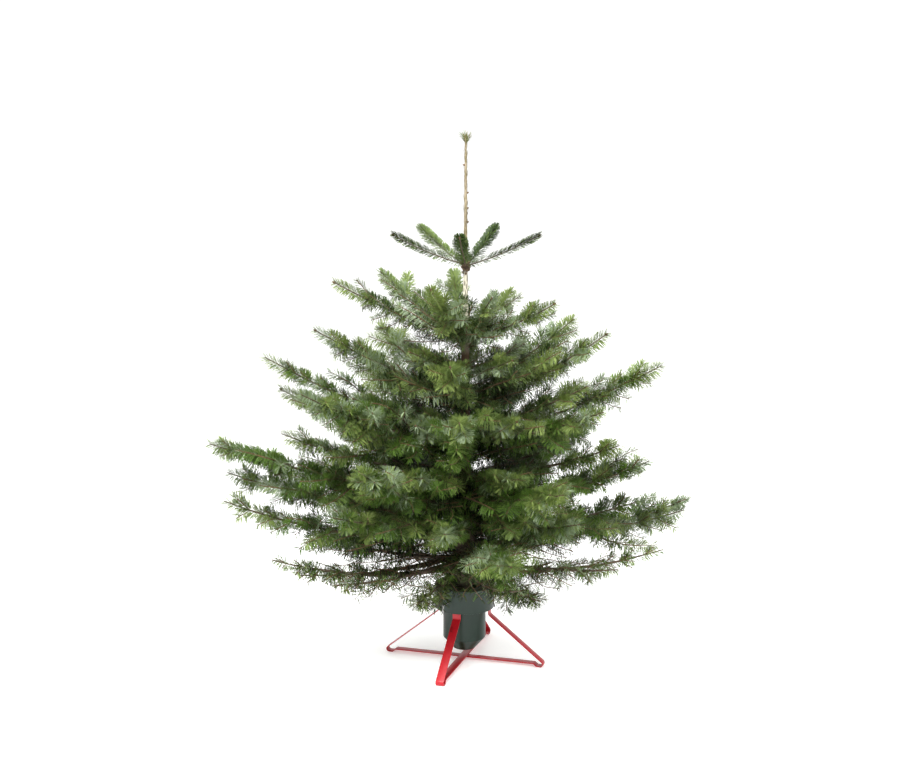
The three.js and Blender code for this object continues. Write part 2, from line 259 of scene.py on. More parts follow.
def tube(points, radii, sides, relief=0.0, rng=None):
    """Rings of points round a path and the faces between them; its ends lie inside other wood or a bud."""
    along = tangents(points)
    level = np.cross(along, UP)
    level[np.linalg.norm(level, axis=1) < 0.2] = (1.0, 0.0, 0.0)
    across = unit(level)
    over = np.cross(across, along)
    turns = np.linspace(0, 2 * math.pi, sides, endpoint=False)
    wide = np.repeat(radii[:, None], sides, 1)
    if relief:
        wide = wide * (1 + relief * rng.uniform(-1, 1, wide.shape))
    ring = across[:, None] * np.cos(turns)[None, :, None] + over[:, None] * np.sin(turns)[None, :, None]
    rings = points[:, None] + ring * wide[..., None]
    return rings.reshape(-1, 3), ring_faces(len(points), sides)[:, ::-1]


def join(parts):
    """Stacks the points and faces of many small meshes."""
    points, faces = zip(*parts)
    starts = np.cumsum([0] + [len(part) for part in points[:-1]])
    return np.concatenate(points), np.concatenate([part + start for part, start in zip(faces, starts)])


# ---- Reading the frame


def node_points(name):
    mesh = NODES[name].data
    points = np.empty(len(mesh.vertices) * 3, np.float32)
    mesh.vertices.foreach_get("co", points)
    return points.reshape(-1, 3).astype(float)


def node_edges(name):
    mesh = NODES[name].data
    edges = np.empty(len(mesh.edges) * 2, np.int32)
    mesh.edges.foreach_get("vertices", edges)
    return edges.reshape(-1, 2)


def crossings(heights, edges, level):
    """Where edges cross a level: the two ends' indices, and how far along each crossing is."""
    low, high = heights[edges[:, 0]], heights[edges[:, 1]]
    hit = (low < level) != (high < level)
    low, high, edges = low[hit], high[hit], edges[hit]
    return edges[:, 0], edges[:, 1], ((level - low) / (high - low))[:, None]


class Space:
    """The space that one bough's foliage fills: its direction and path, and its room on every side."""

    LEAST_WIDTH, LEAST_DEPTH = 0.045, 0.015  # to each side of the bough
    BEFORE_TIP = 0.008  # from the last point of a shoot to the end of the space

    def face(self, x, y, whorl):
        self.whorl = whorl
        self.out = unit(np.array((x, y, 0.0)))
        self.side = np.array((-self.out[1], self.out[0], 0.0))

    def centre(self, r):
        """Points of the bough's own path, at distances from the trunk's axis."""
        r = np.atleast_1d(r)
        points = r[:, None] * self.out
        points[:, 2] = np.polyval(self.path, r)
        return points

    def room(self, point, margin):
        """How far out a point lies towards the mass's edge, sideways, upwards and along; 1 is its edge."""
        r, s = point @ self.out, point @ self.side
        middle = np.polyval(self.path, r)
        off = point[2] - middle
        left, right = np.interp(r, self.stations, self.left), -np.interp(r, self.stations, self.right)
        above = np.interp(r, self.stations, self.high) - middle
        below = middle - np.interp(r, self.stations, self.low)
        wide, tall = (left if s > 0 else right), (above if off > 0 else below)
        wide, tall = max(wide, self.LEAST_WIDTH), max(tall, self.LEAST_DEPTH)
        return s / (wide + margin), off / (tall + margin), r / (self.reach - self.BEFORE_TIP)


class Mass(Space):
    """The space of one mass of foliage of the frame."""

    CUTS, FOOT, TIP = 24, 0.03, 0.02  # cross sections, and the shares of its length left out at both ends

    def __init__(self, name):
        points, edges = node_points(name), node_edges(name)
        reach = np.hypot(points[:, 0], points[:, 1])
        tip = points[reach > reach.max() * 0.98].mean(0)
        self.face(tip[0], tip[1], int(name.split("_")[1]))
        local = np.stack([points @ self.out, points @ self.side, points[:, 2]], 1)
        start, end = local[:, 0].min(), local[:, 0].max()
        self.start, self.reach = start, end
        first, last = start + self.FOOT * (end - start), end - self.TIP * (end - start)
        self.stations = np.linspace(first, last, self.CUTS)
        rows = []
        for station in self.stations:
            a, b, t = crossings(local[:, 0], edges, station)
            cut = local[a] * (1 - t) + local[b] * t
            middle = (cut[cut[:, 1].argmin(), 2] + cut[cut[:, 1].argmax(), 2]) / 2
            rows.append((cut[:, 1].min(), cut[:, 1].max(), cut[:, 2].min(), cut[:, 2].max(), middle))
        self.right, self.left, self.low, self.high, middle = np.array(rows).T
        self.path = np.polyfit(self.stations, middle, 2)


class Gap(Space):
    """The space of a lesser bough that stands between two whorls."""

    DIP, OPENING = 0.16, 0.55  # as shares of the reach and of the distance out
    FAN, HALF_DEPTH = math.radians(40), 0.035

    def __init__(self, bearing, height, reach, lift, whorl):
        turn = math.radians(bearing)
        self.face(math.cos(turn), math.sin(turn), whorl)
        self.start, self.reach = 0.03, reach
        dip = self.DIP * reach
        self.path = np.array((dip / reach ** 2, (lift - dip) / reach, height))
        self.stations = np.linspace(0.04, reach, 12)
        taper = (reach - self.stations) * math.tan(self.FAN) + 0.01
        self.left = np.minimum(self.stations * self.OPENING, taper)
        self.right = -self.left
        middle = np.polyval(self.path, self.stations)
        thick = np.minimum(self.HALF_DEPTH, taper)
        self.low, self.high = middle - thick, middle + thick


def trunk_profile():
    """Heights up the trunk, with its middle and radius at each."""
    points, edges = node_points("trunk"), node_edges("trunk")
    low, high = points[:, 2].min(), points[:, 2].max()
    levels = np.linspace(low + 0.002, high - 0.002, 120)
    rows = []
    for level in levels:
        a, b, t = crossings(points[:, 2], edges, level)
        cut = points[a] * (1 - t) + points[b] * t
        middle = (cut[:, :2].min(0) + cut[:, :2].max(0)) / 2
        rows.append((*middle, np.linalg.norm(cut[:, :2] - middle, axis=1).max()))
    return levels, np.array(rows)


TRUNK_LEVELS, TRUNK_ROWS = trunk_profile()
SLIMMER = (0.98, 1.2, 1.5), (1.0, 0.72, 0.78)  # heights, and how slim the young wood is at each


def trunk_at(height):
    """The trunk's middle and radius at a height."""
    x, y, radius = (np.interp(height, TRUNK_LEVELS, TRUNK_ROWS[:, k]) for k in range(3))
    return np.array((x, y, height)), radius * np.interp(height, *SLIMMER)


# ---- Growth

LIVED = (0, 1, 2, 3), (1.0, 0.78, 0.58, 0.42)  # ages of wood, and the share of needles left on each
LIGHT = (0.2, 0.55, 0.85), (0.35, 0.9, 1.5)  # shares of the way out, and how full the shoots are there
TIP_GROWTH = {1: 1.0, 2: 0.34, 3: 0.22, 4: 0.15}  # by whorl, the last year's share of a bough's length
OLD_TIP_GROWTH = 0.09  # the same, from the fifth whorl down
DROOP = (2, 4, 6, 7), (0.035, 0.01, -0.035, -0.05)  # whorls, and how shoots turn up or down at each step
SLACK = {6: 0.7, 7: 0.2}  # whorls that keep closer to their masses, as shares of the margin
NEARNESS = 0.05, 0.14  # how far a shoot grows before others stop it: elsewhere, and at the trunk


class Shoot:
    """One axis of growth. Ages count from 0 on the outermost year's wood; order is 0 on a bough."""

    def __init__(self, points, radii, ages, order, outline):
        self.points, self.radii, self.ages = points, radii, ages
        self.order, self.whorl = order, outline.whorl
        out = np.hypot(points[:, 0], points[:, 1]) / outline.reach
        self.depth = 0.0 if order == 0 else 1 - min(1.0, out[-1])
        self.cover = np.interp(ages, *LIVED) * np.interp(out, *LIGHT)


def year_nodes(total, years, tip, rng):
    """Distances along a shoot of the nodes between its years, the last year's growth being the tip."""
    if years < 2:
        return np.array([])
    steps = 1 + rng.uniform(-0.12, 0.12, years - 1)
    return (total - tip) * np.cumsum(steps) / steps.sum()


def side_places(nodes, total, growth, rng):
    """Where side shoots stand: a strong pair at each node, weaker ones between nodes, none on the tip."""
    places = [(node, 1.0) for node in nodes]
    edges = [0.0, *nodes]
    for low, high in zip(edges[:-1], edges[1:]):
        between = int((high - low) / growth.spacing)
        for k in range(between):
            places.append((low + (high - low) * (k + 0.6) / (between + 1), growth.weak_share))
    return [(place * rng.uniform(0.97, 1.03), strength) for place, strength in places if place < total]


def ages_along(nodes, along):
    """How many years' nodes lie beyond each point of a shoot."""
    return np.array([np.sum(nodes > place + 1e-6) for place in along], float)


class Crown:
    """Grows the tree's shoots, the boughs first and then order by order, each where it has room."""

    def __init__(self, growth):
        self.growth = growth
        self.shoots, self.taken, self.waiting = [], {}, []

    def cell(self, point):
        return tuple((point / self.growth.room).astype(int))

    def take(self, points):
        for point in points:
            self.taken.setdefault(self.cell(point), len(self.shoots))

    def bud(self, outline, rng, at, direction, total, order):
        if total > self.growth.shortest and order <= self.growth.orders:
            self.waiting.append((outline, rng, at, unit(direction), total, order))

    def grow(self, outlines):
        for number, outline in enumerate(outlines):
            rng = np.random.default_rng(self.growth.seed * 1000 + number)
            self.grow_bough(outline, rng)
            self.set_fillers(outline, rng)
        while self.waiting:
            ready = sorted(self.waiting, key=lambda bud: (bud[5], -bud[4]))
            self.waiting = []
            for bud in ready:
                self.grow_side(*bud)

    def grow_bough(self, outline, rng):
        """Grows a bough along its mass's own path, from inside the trunk to the tip."""
        growth, whorl = self.growth, outline.whorl
        axis, trunk_radius = trunk_at(np.polyval(outline.path, 0.0))
        begin, end = trunk_radius * 0.7, outline.reach - 0.006
        r = np.linspace(begin, end, max(8, int((end - begin) / growth.step)) + 1)
        points = outline.centre(r)
        points[:, :2] += axis[:2] * (1 - r / end)[:, None]
        wobble = np.sin(r * 23 + whorl) * 0.004 * min(1, whorl / 4)
        points += outline.side * (wobble * np.sin(math.pi * r / end))[:, None]
        along = distances(points)
        total = along[-1]
        nodes = year_nodes(total, whorl, total * TIP_GROWTH.get(whorl, OLD_TIP_GROWTH), rng)
        ages = ages_along(nodes, along)
        thin = growth.twig_radius * 1.3
        radii = thin + (trunk_radius * 0.34 - thin) * (1 - along / total) ** 0.9
        radii[:3] *= (1.35, 1.15, 1.05)
        self.take(points)
        self.shoots.append(Shoot(points, radii, ages, 0, outline))
        for place, strength in side_places(nodes, total, growth, rng):
            at = along_path(points, along, place)
            if at @ outline.out < outline.start + 0.01:
                continue
            forward = unit(along_path(points, along, place + 0.01) - at)
            left = (total - place) * growth.side_share * strength
            self.pair(outline, rng, at, forward, outline.side, left, 1)
            if whorl > 1:
                self.rise(outline, rng, at, forward, left, 1)

    def set_fillers(self, outline, rng):
        """Sets buds on the trunk for the smaller boughs over and under the mass's own bough."""
        growth = self.growth
        if outline.whorl < 2:
            return
        near = outline.start + 0.3 * (outline.reach - outline.start)
        middle = np.polyval(outline.path, near)
        high = np.interp(near, outline.stations, outline.high) - middle
        low = middle - np.interp(near, outline.stations, outline.low)
        count = int(round((high + low) * growth.fillers))
        for k in range(count):
            off = (-low + (high + low) * (k + 0.5) / count) * 0.85
            turn = growth.filler_spread * rng.uniform(-1, 1)
            heading = outline.out * math.cos(turn) + outline.side * math.sin(turn)
            axis, radius = trunk_at(np.polyval(outline.path, 0.0) + off * 0.8)
            start = axis + heading * radius * 0.8
            edge = 1 - abs(off) / (high if off > 0 else low) * 0.4
            total = outline.reach * rng.uniform(0.6, 0.88) * edge
            target = outline.centre(total)[0] + outline.side * math.tan(turn) * total * 0.8 + UP * off * 0.9
            self.bud(outline, rng, start, target - start, total, 1)

    def pair(self, outline, rng, at, forward, level, total, order):
        """Two side shoots, one to each hand."""
        growth = self.growth
        for way in (1, -1):
            turn = growth.side_angle * rng.uniform(0.85, 1.1)
            tilt = rng.uniform(-1, 1) * growth.lift + 0.06
            sideways = level * way * math.cos(tilt) + UP * math.sin(tilt)
            direction = forward * math.cos(turn) + sideways * math.sin(turn)
            self.bud(outline, rng, at, direction, total * rng.uniform(0.82, 1.15), order)

    def rise(self, outline, rng, at, forward, total, order):
        """A shoot over the bough and one under it, each leaning to one side."""
        growth = self.growth
        level = unit(np.cross(UP, forward))
        for way in (1, -1):
            sideways = unit(UP * way + level * rng.uniform(-0.9, 0.9))
            turn = growth.side_angle * rng.uniform(0.6, 0.9)
            direction = forward * math.cos(turn) + sideways * math.sin(turn)
            self.bud(outline, rng, at, direction, total * growth.upright_share, order)

    def grow_side(self, outline, rng, start, heading, total, order):
        """Grows one shoot until it runs out, leaves its mass or meets another shoot; then sets its buds."""
        growth = self.growth
        steps = max(2, int(total / growth.step))
        stride = total / steps
        points = [start]
        free = NEARNESS[0] if order > 1 or start @ outline.out > 0.06 else NEARNESS[1]
        wander = rng.uniform(-0.02, 0.02, 3)
        margin = growth.margin * SLACK.get(outline.whorl, 1.0)
        for k in range(steps):
            pull = outline.out * 0.035 + UP * np.interp(outline.whorl, *DROOP) + wander
            aside, over, _ = outline.room(points[-1], margin)
            if over * heading[2] > 0:
                pull -= UP * np.sign(over) * growth.steering * min(1.0, abs(over) ** 2)
            if aside * (heading @ outline.side) > 0:
                pull -= outline.side * np.sign(aside) * growth.steering * min(1.0, abs(aside) ** 3)
            heading = unit(heading + pull)
            point = points[-1] + heading * stride
            aside, over, out = outline.room(point, margin)
            if aside * aside + over * over > 1.1 or out > 1:
                break
            if (k + 1) * stride > free and self.cell(point) in self.taken:
                break
            points.append(point)
        grown = (len(points) - 1) * stride
        if grown < growth.shortest:
            return
        self.take(points[1:])
        points = np.array(points)
        years = int(np.clip(round(grown / growth.year), 1, max(1, outline.whorl - order)))
        nodes = year_nodes(grown, years, min(grown, growth.year * rng.uniform(0.85, 1.15)), rng)
        along = np.linspace(0, grown, len(points))
        ages = ages_along(nodes, along)
        radii = growth.twig_radius + growth.fattening * ages
        self.shoots.append(Shoot(points, radii, ages, order, outline))
        for place, strength in side_places(nodes, grown, growth, rng):
            at = along_path(points, along, place)
            behind, ahead = (along_path(points, along, place + step) for step in (-0.01, 0.01))
            forward = unit(ahead - behind)
            level = unit(np.cross(UP, forward))
            left = (grown - place) * growth.twig_share * strength
            self.pair(outline, rng, at, forward, level, left, order + 1)


@cache
def grown():
    """The tree's shoots, grown once for all the operators."""
    crown = Crown(setting("growth"))
    crown.grow([Mass(name) for name in SPRAYS] + [Gap(*bough) for bough in BETWEEN])
    return crown.shoots


# ---- Needles

TINTS = ("fresh", "outer", "middle", "inner", "silver", "olive", "grass", "dry")
ROUGHNESS = {"silver": 0.6, "olive": 0.6}
USUAL_ROUGHNESS = 0.42
CROWDING = {1: 2.3, 2: 1.2, 3: 1.1, 6: 0.85, 7: 0.5}  # by whorl, how closely the needles stand; 1 elsewhere
SHORTNESS = {1: 0.72, 2: 0.85, 7: 0.85}  # by whorl, the needles' length as a share of the usual
LOW_SPRAYS = (0.2, 0.4)  # heights between which the sprays over the stand go from thin and olive to full
BARE = 0.1  # length of a low bough's bare foot, and then of the stretch where its needles set in
ON_BOUGH = 1.4  # how closely needles stand on a bough, to those on its shoots
TIP, FOOT = 0.03, 0.02  # lengths of a shoot's two ends, where its needles are shorter
GRASS_YOUNG, GRASS_OLD, SILVER_AND_SHEEN = 0.4, 0.6, 0.3  # shares of the shoots that turn green, or silvery with a painted sheen
SILVER_AND_SHEEN_SHARE = 0.75  # how many needles of a silvery shoot show the silver and its painted sheen
TUFT_DEPTH = 0.027  # from the top of the trunk down to the middle of its tuft


def needle_places(shoot, along, per_metre, rng):
    """Distances along a shoot of its needles, which stand closer on young wood out in the light."""
    keep = shoot.cover * CROWDING.get(shoot.whorl, 1.0)
    keep = keep * (ON_BOUGH if shoot.order == 0 else 1.0)
    if shoot.order == 0 and shoot.whorl > 5:
        keep = keep * np.clip((along - BARE) / BARE, 0, 1)
    keep = keep * np.interp(shoot.points[:, 2], LOW_SPRAYS, (0.3, 1))
    weight = np.concatenate([[0], np.cumsum(run_lengths(shoot.points) * (keep[1:] + keep[:-1]) / 2)])
    count = int(weight[-1] * per_metre + rng.uniform())
    if count < 2:
        return np.array([])
    return np.interp((np.arange(count) + rng.uniform(0.1, 0.9, count)) / count * weight[-1], weight, along)


def needle_rows(shoot, per_metre, sizes, rng):
    """The feet, directions, upper sides, lengths and colours of one shoot's needles."""
    along = distances(shoot.points)
    place = needle_places(shoot, along, per_metre, rng)
    count = len(place)
    if not count:
        return None
    foot = along_path(shoot.points, along, place)
    axis = unit(along_path(tangents(shoot.points), along, place))
    level = unit(np.cross(axis, UP))
    top = unit(np.cross(level, axis))
    rank = rng.integers(0, sizes.ranks, count) / (sizes.ranks - 1) * 2 - 1
    spin = (np.sign(rank) * np.abs(rank) ** 0.9 + rng.normal(0, 0.04, count)) * sizes.around
    if shoot.whorl == 1:
        spin = spin * 0.88
    radial = top * np.cos(spin)[:, None] + level * np.sin(spin)[:, None]
    near_tip = np.clip((along[-1] - place) / TIP, 0, 1)
    near_foot = np.clip(place / FOOT + 0.5, 0, 1)
    lean = sizes.lean * (0.6 + 0.4 * near_tip) * rng.uniform(0.85, 1.12) * rng.uniform(0.93, 1.07, count)
    lean *= 1.08 - 0.25 * np.cos(spin)
    rise = 0.2 if shoot.whorl == 1 else 0.1
    direction = axis * np.cos(lean)[:, None] + radial * np.sin(lean)[:, None] + UP * rise
    direction = unit(direction + rng.normal(0, 0.03, (count, 3)))
    upper = unit(top - direction * np.sum(top * direction, 1)[:, None] + rng.normal(0, 0.1, (count, 3)))
    long = sizes.length * (0.76 + 0.24 * np.abs(np.sin(spin))) * rng.uniform(0.88, 1.08, count)
    long *= (0.72 + 0.28 * near_tip) * near_foot * SHORTNESS.get(shoot.whorl, 1.0)
    radius = np.interp(place, along, shoot.radii)
    foot = foot + radial * radius[:, None] * 0.8
    age = np.interp(place, along, shoot.ages)
    low = np.interp(foot[:, 2], LOW_SPRAYS, (0.95, 0))
    return foot, direction, upper, long, needle_tints(shoot, age, low, rng)


def needle_tints(shoot, age, low, rng):
    """Colours by spray: fresh outside, darker with age and with painted shade deep inside, some grass
    green, some silvery with a painted sheen, and olive down low.
    """
    # Each step of shade is one tint darker. The wood's age stands partly for older needles' own darker
    # green. Depth into the tree and the lower whorls are painted shade. The top whorl is set darker all
    # over.
    deep = shoot.depth + 0.25 * rng.uniform(-1, 1) + 0.04 * (shoot.whorl - 3)
    shade = age * 0.5 + max(0.0, deep) * 3.2 + 0.4 * rng.uniform(-1, 1) + rng.normal(0, 0.32, len(age))
    shade = np.clip(shade + (1.1 if shoot.whorl == 1 else 0.0), 0, 3)
    tints = np.round(shade).astype(int)
    grass, silver, olive = (TINTS.index(name) for name in ("grass", "silver", "olive"))
    if shoot.whorl > 3 and rng.uniform() < GRASS_YOUNG:
        tints = np.where(tints == 1, grass, tints)
    if shoot.whorl > 3 and rng.uniform() < GRASS_OLD:
        tints = np.where(tints == 2, grass, tints)
    # Silvery wax lightened into a painted sheen, on the younger needles of some shoots
    if shoot.whorl > 1 and rng.uniform() < SILVER_AND_SHEEN:
        tints = np.where((tints < 2) & (rng.uniform(0, 1, len(age)) < SILVER_AND_SHEEN_SHARE), silver, tints)
    return np.where(rng.uniform(0, 1, len(age)) < low, olive, tints)


def trunk_needles(sizes, rng):
    """Sparse needles pressed against the young trunk, and a tuft round the top bud."""
    top = TRUNK_LEVELS[-1]
    count, tuft = 190, 70
    height = 1.0 + (top - 1.02) * np.sort(rng.uniform(0, 1, count))
    turn = np.arange(count + tuft) * GOLDEN_ANGLE
    radial = np.stack([np.cos(turn), np.sin(turn), np.zeros(count + tuft)], 1)
    height = np.concatenate([height, top - TUFT_DEPTH + rng.uniform(-0.008, 0.01, tuft)])
    feet = np.array([trunk_at(h)[0] + out * trunk_at(h)[1] * 0.93 for h, out in zip(height, radial)])
    lean = np.concatenate([rng.uniform(0.06, 0.3, count), rng.uniform(0.3, 1.1, tuft)])
    direction = unit(UP * np.cos(lean)[:, None] + radial * np.sin(lean)[:, None])
    long = sizes.length * np.concatenate([rng.uniform(0.4, 0.7, count), rng.uniform(0.6, 0.8, tuft)])
    upper = unit(radial - direction * np.sum(radial * direction, 1)[:, None])
    tints = np.full(count + tuft, TINTS.index("dry"))
    # The trunk's needles low down, inside the crown, take the near-black inner tint: painted shade
    tints[height < 1.2] = TINTS.index("inner")
    tints[count::2] = TINTS.index("outer")
    return feet, direction, upper, long, tints


def needle_blades(foot, direction, upper, long, sizes):
    """Each needle is a narrow bowed blade of three faces, with a pointed foot and a blunt end."""
    across = np.cross(direction, upper) * (sizes.width / 2)
    middle = foot + direction * (long * 0.3)[:, None] + upper * sizes.bow
    tip = foot + direction * long[:, None] - upper * sizes.bow
    points = np.stack([foot, middle - across, middle + across, tip - across * 0.7, tip + across * 0.7], 1)
    corners = np.array([[0, 2, 1], [1, 2, 4], [1, 4, 3]])
    faces = (np.arange(len(foot))[:, None, None] * points.shape[1] + corners[None]).reshape(-1, 3)
    return points.reshape(-1, 3), faces


def needle_material(name, tone, roughness):
    """Waxy needle: its own plain colour, with a faint change from place to place."""
    material, tree, shader = node_material("needle_" + name)
    noise = noise_on_object(tree, 55, 2)
    colour_by(tree, noise, [(0.3, shaded(tone, 0.78)), (0.7, shaded(tone, 1.22))], shader)
    set_inputs(shader, {"Roughness": roughness, "Specular IOR Level": 0.16})
    return material


def make_needles():
    sizes, growth, colours = setting("needles"), setting("growth"), setting("colours")
    rng = np.random.default_rng(growth.seed)
    shoots = grown()
    per_metre = sizes.count / sum(np.sum(run_lengths(shoot.points) * shoot.cover[1:]) for shoot in shoots)
    rows = [trunk_needles(sizes, rng)]
    rows += filter(None, [needle_rows(shoot, per_metre, sizes, rng) for shoot in shoots])
    foot, direction, upper, long, tints = (np.concatenate(column) for column in zip(*rows))
    materials = [
        needle_material(tint, getattr(colours, tint), ROUGHNESS.get(tint, USUAL_ROUGHNESS))
        for tint in TINTS
    ]
    pieces = []
    for number, start in enumerate(range(0, len(foot), sizes.piece)):
        part = slice(start, start + sizes.piece)
        points, faces = needle_blades(foot[part], direction[part], upper[part], long[part], sizes)
        slots = np.repeat(tints[part], 3)
        pieces.append(make_mesh(f"needles_{number + 1}", points, faces, slots, materials, smooth=False))
    for number, piece in enumerate(pieces):
        finish(piece, SPRAYS[number::len(pieces)])


# ---- Wood and buds

BOUGH_SIDES, BOUGH_RELIEF, TWIG_SIDES = 10, 0.09, 4
LEADER_BUDS = (1.27, 1.335, 1.375, 1.42, 1.5)  # heights of the single buds on the leader
YEAR_MARK, MARK_BUDS = 1.2, 22  # height of the ring of old bud scales on the trunk, and how many it has


def make_wood():
    """Boughs with bark relief in place of their nodes, and the twigs that carry the needles."""
    colours = setting("colours")
    rng = np.random.default_rng(setting("growth").seed + 1)
    boughs, twigs, ages = [], [], []
    for shoot in grown():
        if shoot.order == 0:
            fine = np.linspace(0, len(shoot.points) - 1, 2 * len(shoot.points))
            index = np.arange(len(shoot.points))
            points = along_path(shoot.points, index, fine)
            boughs.append(tube(points, np.interp(fine, index, shoot.radii), BOUGH_SIDES, BOUGH_RELIEF, rng))
        else:
            twigs.append(tube(shoot.points, shoot.radii, TWIG_SIDES))
            ages.append(np.repeat(np.minimum(shoot.ages[1:], 2).astype(int), TWIG_SIDES))
    old = bark_material("bough_bark", colours.bark, shaded(colours.twig, 0.6), 90)
    mid = bark_material("twig_bark", shaded(colours.twig, 0.5), shaded(colours.twig, 0.8), 160)
    new = bark_material("shoot_bark", shaded(colours.twig, 0.85), shaded(colours.twig, 1.25), 200)
    points, faces = join(boughs)
    finish(make_mesh("boughs", points, faces, np.zeros(len(faces)), [old]), LIMBS)
    points, faces = join(twigs)
    finish(make_mesh("twigs", points, faces, np.concatenate(ages), [new, mid, old]))


def bud_shape(sides=4):
    """A pointed egg of three rings, one unit long."""
    heights, radii = np.array((0.0, 0.42, 1.0)), np.array((0.24, 0.4, 0.03))
    turns = np.linspace(0, 2 * math.pi, sides, endpoint=False)
    ring = np.stack([np.cos(turns), np.sin(turns)], 1)
    points = [np.column_stack([ring * wide, np.full(sides, up)]) for up, wide in zip(heights, radii)]
    return np.concatenate(points), ring_faces(len(heights), sides)


def make_buds():
    """A bud at every tip, more on a bough's, and single buds and a ring of bud scales on the trunk."""
    rng = np.random.default_rng(setting("growth").seed + 2)
    shape, quads = bud_shape()
    parts = []

    def bud(at, direction, size):
        turn = np.array(Vector(direction).to_track_quat("Z", "Y").to_matrix())
        parts.append((shape * size @ turn.T + at, quads))

    def cluster(at, heading, size, count, spread):
        level = unit(np.cross(heading, UP) + 1e-6)
        over = np.cross(level, heading)
        bud(at, heading, size)
        for k in range(count):
            turn = 2 * math.pi * k / count
            aside = level * math.cos(turn) + over * math.sin(turn)
            bud(at - heading * size * 0.3, unit(heading + aside * spread), size * 0.8)

    for shoot in grown():
        heading = tangents(shoot.points)[-1]
        stout = shoot.order == 0 and shoot.whorl < 4
        count = 5 if stout else 2 if shoot.order == 0 else 0
        cluster(shoot.points[-1] - heading * 0.002, heading, 0.0085 if stout else 0.005, count, 0.8)
    cluster(trunk_at(TRUNK_LEVELS[-1] - 0.018)[0], UP + 1e-4, 0.011, 6, 0.9)
    for height in LEADER_BUDS:
        middle, radius = trunk_at(height)
        around = unit(np.array((rng.uniform(-1, 1), rng.uniform(-0.6, 0.2), 0.0)))
        bud(middle + around * radius * 0.6, unit(UP * 0.5 + around), 0.0085)
    for k in range(MARK_BUDS):
        middle, radius = trunk_at(YEAR_MARK + 0.016 * rng.uniform(-1, 1))
        around = np.array((math.cos(k * GOLDEN_ANGLE), math.sin(k * GOLDEN_ANGLE), 0.0))
        bud(middle + around * radius, unit(UP * 0.6 + around), 0.011)
    points, faces = join(parts)
    skin = bark_material("bud_scales", setting("colours").bud, shaded(setting("colours").bud, 1.5), 400)
    finish(make_mesh("buds", points, faces, np.zeros(len(faces)), [skin]))


# ---- Materials


def shaded(tone, factor):
    return tuple(min(1.0, part * factor) for part in tone[:3])


def node_material(name):
    material = bpy.data.materials.new(name)
    material.use_nodes = True
    return material, material.node_tree, material.node_tree.nodes["Principled BSDF"]


def colour_ramp(tree, source, stops):
    ramp = tree.nodes.new("ShaderNodeValToRGB")
    elements = ramp.color_ramp.elements
    while len(elements) < len(stops):
        elements.new(0.5)
    for element, (place, tone) in zip(elements, stops):
        element.position = place
        element.color = (*tone, 1)
    tree.links.new(source, ramp.inputs["Fac"])
    return ramp.outputs["Color"]


def set_inputs(node, values):
    for name, value in values.items():
        node.inputs[name].default_value = value


def colour_by(tree, source, stops, shader, socket="Base Color"):
    tree.links.new(colour_ramp(tree, source, stops), shader.inputs[socket])


def bump(tree, shader, source, strength, distance):
    node = tree.nodes.new("ShaderNodeBump")
    set_inputs(node, {"Strength": strength, "Distance": distance})
    tree.links.new(source, node.inputs["Height"])
    tree.links.new(node.outputs["Normal"], shader.inputs["Normal"])


def noise_on_object(tree, scale, detail=6.0, stretch=(1, 1, 1)):
    coordinates = tree.nodes.new("ShaderNodeTexCoord")
    mapping = tree.nodes.new("ShaderNodeMapping")
    mapping.inputs["Scale"].default_value = stretch
    noise = tree.nodes.new("ShaderNodeTexNoise")
    set_inputs(noise, {"Scale": scale, "Detail": detail})
    tree.links.new(coordinates.outputs["Object"], mapping.inputs["Vector"])
    tree.links.new(mapping.outputs["Vector"], noise.inputs["Vector"])
    return noise.outputs["Fac"]


def bark_material(name, dark, light, scale):
    material, tree, shader = node_material(name)
    noise = noise_on_object(tree, scale)
    colour_by(tree, noise, [(0.3, dark), (0.7, light)], shader)
    bump(tree, shader, noise, 0.6, 0.001)
    shader.inputs["Roughness"].default_value = 0.8
    return material


def trunk_material():
    """Grey-brown at the foot, warmer above, a near-white painted highlight on the wood of the year before,
    and tan on the leader, with fine cracks and blisters.
    """
    colours = setting("colours")
    material, tree, shader = node_material("trunk_bark")
    coordinates = tree.nodes.new("ShaderNodeTexCoord")
    split = tree.nodes.new("ShaderNodeSeparateXYZ")
    tree.links.new(coordinates.outputs["Object"], split.inputs["Vector"])
    height = tree.nodes.new("ShaderNodeMapRange")
    height.inputs["From Max"].default_value = TRUNK_LEVELS[-1]
    tree.links.new(split.outputs["Z"], height.inputs["Value"])
    brown = shaded(colours.twig, 0.75)
    scar, painted_highlight_bark, young = shaded(brown, 0.5), tuple(colours.painted_highlight_bark), tuple(colours.young)
    # The near-white band on the wood of the year before is a painted highlight
    by_height = colour_ramp(tree, height.outputs["Result"], [
        (0.1, shaded(colours.bark, 1.0)), (0.5, brown), (0.59, brown), (0.64, painted_highlight_bark), (0.74, painted_highlight_bark),
        (0.748, scar), (0.762, scar), (0.772, young), (1.0, young),
    ])
    cracks = noise_on_object(tree, 60, 8, (1, 1, 0.35))
    mottle = colour_ramp(tree, cracks, [(0.35, (0.45, 0.42, 0.4)), (0.62, (1, 1, 1))])
    mix = tree.nodes.new("ShaderNodeMix")
    mix.data_type = "RGBA"
    mix.blend_type = "MULTIPLY"
    mix.inputs["Factor"].default_value = 0.7
    tree.links.new(by_height, mix.inputs["A"])
    tree.links.new(mottle, mix.inputs["B"])
    tree.links.new(mix.outputs["Result"], shader.inputs["Base Color"])
    bump(tree, shader, cracks, 0.7, 0.002)
    shader.inputs["Roughness"].default_value = 0.85
    return material


